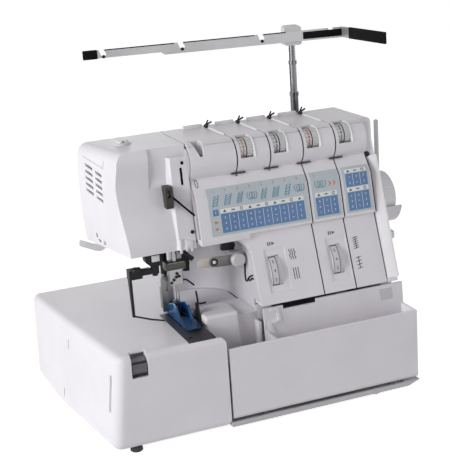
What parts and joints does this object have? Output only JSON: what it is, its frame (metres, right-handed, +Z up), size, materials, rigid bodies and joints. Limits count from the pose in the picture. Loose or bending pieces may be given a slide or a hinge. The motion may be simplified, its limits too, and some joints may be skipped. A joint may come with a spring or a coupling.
{
  "type": "serger overlock machine",
  "caption": "Household overlock sewing machine with drum tension dials, sliding bed table, tilting looper cover with tray, hand wheel and telescopic thread stand.",
  "frame": {"origin": "middle of the machine's footprint, on the table top that it stands on", "axes": "+X to the machine's right (hand-wheel end), +Y to its back, +Z up"},
  "size_m": [0.4376, 0.245, 0.378],
  "materials": {
    "shell_white": "satin moulded",
    "rubber_black": "matt",
    "latch_grey": "ribbed",
    "frame_aluminium": "cast",
    "plate_dark": "dark plated",
    "bright_steel": "polished",
    "trim_black": "satin",
    "print_plate": "printed",
    "dial_white": "satin moulded",
    "knob_grey": "satin",
    "clamp_steel": "satin",
    "foot_blue": "satin",
    "lever_grey": "satin",
    "lever_white": "satin moulded",
    "wheel_grey": "satin",
    "motor_steel": "satin",
    "belt_rubber": "matt",
    "stand_grey": "satin",
    "pin_grey": "satin",
    "pole_steel": "bright drawn",
    "bracket_grey": "satin",
    "clip_dark": "satin",
    "bar_grey": "satin"
  },
  "bodies": {
    "body": {"base_pan": "shell_white", "rubber_feet": "rubber_black", "bed_support": "frame_aluminium", "needle_plate": "plate_dark", "looper_housing": "shell_white", "cover_hinges": "trim_black", "head_cover": "shell_white", "top_cover": "shell_white", "front_panel_left": "shell_white", "front_panel_middle": "shell_white", "front_panel_right": "shell_white", "guide_plates": "print_plate", "rear_cover": "shell_white", "right_cover": "shell_white", "throat_cover": "shell_white", "thread_plate": "shell_white", "rear_thread_clips": "trim_black", "tension_clips": "clip_dark", "tension_shaft": "bright_steel", "guide_bracket": "trim_black", "machine_frame": "frame_aluminium", "motor": "motor_steel", "drive_belt": "belt_rubber", "power_inlet": "trim_black", "spool_stand": "stand_grey", "spool_pins": "pin_grey", "pole_lower": "pole_steel"},
    "table": {"extension_table": "shell_white", "table_feet": "rubber_black"},
    "latch": {"table_latch": "latch_grey"},
    "cover_carrier": {"cover_hinge_rod": "bright_steel"},
    "cover": {"looper_cover": "shell_white"},
    "feed": {"feed_dog": "bright_steel"},
    "differential_feed": {"differential_feed_dog": "bright_steel"},
    "knife": {"upper_knife": "clip_dark"},
    "lower_looper": {"lower_looper": "bright_steel"},
    "upper_looper": {"upper_looper": "bright_steel"},
    "take_up": {"take_up_lever": "clip_dark"},
    "dial_1": {"tension_dial_1": "dial_white"},
    "dial_2": {"tension_dial_2": "dial_white"},
    "dial_3": {"tension_dial_3": "dial_white"},
    "dial_4": {"tension_dial_4": "dial_white"},
    "differential_dial": {"differential_dial": "dial_white"},
    "stitch_length_dial": {"stitch_length_dial": "dial_white"},
    "pressure_knob": {"pressure_knob": "knob_grey"},
    "needle_carriage": {"needle_bar": "bright_steel", "needle_clamp": "clamp_steel", "needles": "bright_steel"},
    "presser": {"presser_bar": "bright_steel", "presser_foot": "foot_blue"},
    "presser_lever": {"presser_lever": "lever_grey"},
    "seam_guide": {"seam_guide": "trim_black"},
    "thread_lever": {"thread_lever": "lever_white"},
    "wheel": {"main_shaft": "bright_steel", "handwheel": "wheel_grey"},
    "motor_pulley": {"motor_pulley": "bright_steel"},
    "pole_middle": {"pole_middle": "pole_steel"},
    "pole_upper": {"pole_upper": "pole_steel"},
    "guide": {"pole_bracket": "bracket_grey", "guide_bar": "bar_grey"}
  },
  "joints": [
    {"name": "table_slide", "type": "slide", "parent": "body", "child": "table", "axis": [-1, 0, 0], "range_m": [0, 0.12]},
    {"name": "latch_turn", "type": "hinge", "parent": "table", "child": "latch", "pos_m": [-0.17272, -0.1121, 0.089], "axis": [1, 0, 0], "range_deg": [0, 20], "stiffness_Nm_per_rad": 0.02},
    {"name": "cover_slide", "type": "slide", "parent": "body", "child": "cover_carrier", "axis": [1, 0, 0], "range_m": [0, 0.006]},
    {"name": "cover_tilt", "type": "hinge", "parent": "cover_carrier", "child": "cover", "pos_m": [-0.03522, -0.1165, 0.0145], "axis": [1, 0, 0], "range_deg": [0, 55]},
    {"name": "feed_move", "type": "slide", "parent": "body", "child": "feed", "axis": [0, 1, 0], "range_m": [-0.002, 0.002]},
    {"name": "differential_feed_move", "type": "slide", "parent": "body", "child": "differential_feed", "axis": [0, 1, 0], "range_m": [-0.0024, 0.0024]},
    {"name": "knife_move", "type": "slide", "parent": "body", "child": "knife", "axis": [0, 0, 1], "range_m": [-0.005, 0.003]},
    {"name": "lower_looper_swing", "type": "hinge", "parent": "body", "child": "lower_looper", "pos_m": [-0.06722, -0.0385, 0.04], "axis": [0, 1, 0], "range_deg": [-15, 15]},
    {"name": "upper_looper_swing", "type": "hinge", "parent": "body", "child": "upper_looper", "pos_m": [-0.06722, -0.0545, 0.04], "axis": [0, 1, 0], "range_deg": [-15, 15]},
    {"name": "take_up_move", "type": "slide", "parent": "body", "child": "take_up", "axis": [0, 0, 1], "range_m": [-0.012, 0.008]},
    {"name": "tension_dial_1_turn", "type": "hinge", "parent": "body", "child": "dial_1", "pos_m": [-0.01832, -0.04209, 0.27201], "axis": [1, 0, 0], "range_deg": [-130, 130]},
    {"name": "tension_dial_2_turn", "type": "hinge", "parent": "body", "child": "dial_2", "pos_m": [0.01878, -0.04209, 0.27201], "axis": [1, 0, 0], "range_deg": [-130, 130]},
    {"name": "tension_dial_3_turn", "type": "hinge", "parent": "body", "child": "dial_3", "pos_m": [0.05618, -0.04209, 0.27201], "axis": [1, 0, 0], "range_deg": [-130, 130]},
    {"name": "tension_dial_4_turn", "type": "hinge", "parent": "body", "child": "dial_4", "pos_m": [0.09368, -0.04209, 0.27201], "axis": [1, 0, 0], "range_deg": [-130, 130]},
    {"name": "differential_dial_turn", "type": "hinge", "parent": "body", "child": "differential_dial", "pos_m": [0.00178, -0.05506, 0.13885], "axis": [1, 0, 0], "range_deg": [-55, 55]},
    {"name": "stitch_length_turn", "type": "hinge", "parent": "body", "child": "stitch_length_dial", "pos_m": [0.07278, -0.05506, 0.13885], "axis": [1, 0, 0], "range_deg": [-55, 55]},
    {"name": "pressure_turn", "type": "hinge", "parent": "body", "child": "pressure_knob", "pos_m": [-0.12672, 0, 0.2855], "axis": [0, 0, 1], "range_deg": [-180, 180]},
    {"name": "needle_move", "type": "slide", "parent": "body", "child": "needle_carriage", "axis": [0, 0, 1], "range_m": [-0.008, 0.018]},
    {"name": "presser_lever_turn", "type": "hinge", "parent": "body", "child": "presser_lever", "pos_m": [-0.12522, 0.0395, 0.184], "axis": [0, 1, 0], "range_deg": [0, 35]},
    {"name": "presser_lift", "type": "slide", "parent": "body", "child": "presser", "axis": [0, 0, 1], "range_m": [0, 0.006]},
    {"name": "seam_guide_turn", "type": "hinge", "parent": "body", "child": "seam_guide", "pos_m": [-0.11722, -0.0445, 0.161], "axis": [0, 0, 1], "range_deg": [-60, 0]},
    {"name": "thread_lever_turn", "type": "hinge", "parent": "body", "child": "thread_lever", "pos_m": [-0.02982, -0.0505, 0.159], "axis": [0, 1, 0], "range_deg": [-20, 8]},
    {"name": "handwheel_turn", "type": "hinge", "parent": "body", "child": "wheel", "pos_m": [0.15778, -0.0045, 0.187], "axis": [1, 0, 0], "continuous": true},
    {"name": "motor_turn", "type": "hinge", "parent": "body", "child": "motor_pulley", "pos_m": [0.11878, -0.0045, 0.076], "axis": [1, 0, 0], "continuous": true},
    {"name": "pole_middle_slide", "type": "slide", "parent": "body", "child": "pole_middle", "axis": [0, 0, 1], "range_m": [-0.03, 0.11]},
    {"name": "pole_upper_slide", "type": "slide", "parent": "pole_middle", "child": "pole_upper", "axis": [0, 0, 1], "range_m": [-0.01, 0.11]},
    {"name": "guide_turn", "type": "hinge", "parent": "pole_upper", "child": "guide", "pos_m": [0.10478, 0.0775, 0.362], "axis": [0, 0, 1], "range_deg": [-30, 30]}
  ],
  "couplings": [
    {"joint": "presser_lever_turn", "follows": "presser_lift", "rad_per_m": 101.71},
    {"joint": "motor_turn", "follows": "handwheel_turn", "ratio": 2.4},
    {"joint": "upper_looper_swing", "follows": "lower_looper_swing", "ratio": -1},
    {"joint": "differential_feed_move", "follows": "feed_move", "ratio": 1.2}
  ]
}
